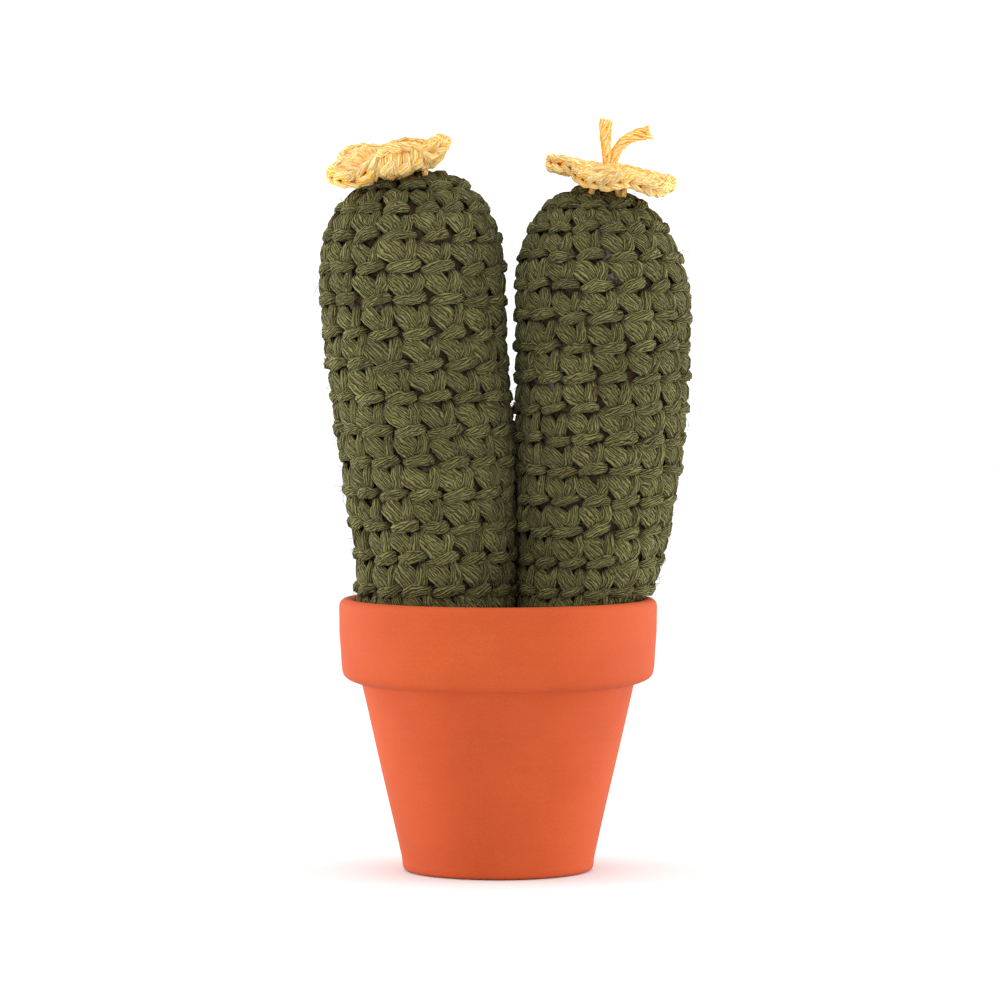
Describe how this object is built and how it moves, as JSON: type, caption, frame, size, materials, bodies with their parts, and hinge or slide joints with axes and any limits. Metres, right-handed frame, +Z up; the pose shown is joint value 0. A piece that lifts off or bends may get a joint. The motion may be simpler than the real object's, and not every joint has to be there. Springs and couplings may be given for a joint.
{
  "type": "crocheted cactus in a terracotta pot",
  "caption": "Soft toy cactus: a tall and a shorter stuffed crochet column with yellow crocheted flowers, standing side by side in a small round clay pot.",
  "frame": {"origin": "on the surface that the pot stands on, under the middle of the whole outline seen from above", "axes": "+Z up from the pot's foot to the flowers; -Y towards the viewer; +X from the taller column to the shorter one"},
  "size_m": [0.0934, 0.08, 0.1885],
  "materials": {
    "clay": "unglazed",
    "green_yarn": "matte",
    "yellow_yarn": "matte",
    "fibre": "matte"
  },
  "bodies": {
    "root": {"pot": "clay", "pot_stuffing": "fibre", "column_cover_left": "green_yarn", "column_cover_right": "green_yarn", "column_stuffing_left": "fibre", "column_stuffing_right": "fibre", "flower_left": "yellow_yarn", "flower_right": "yellow_yarn"}
  },
  "joints": []
}
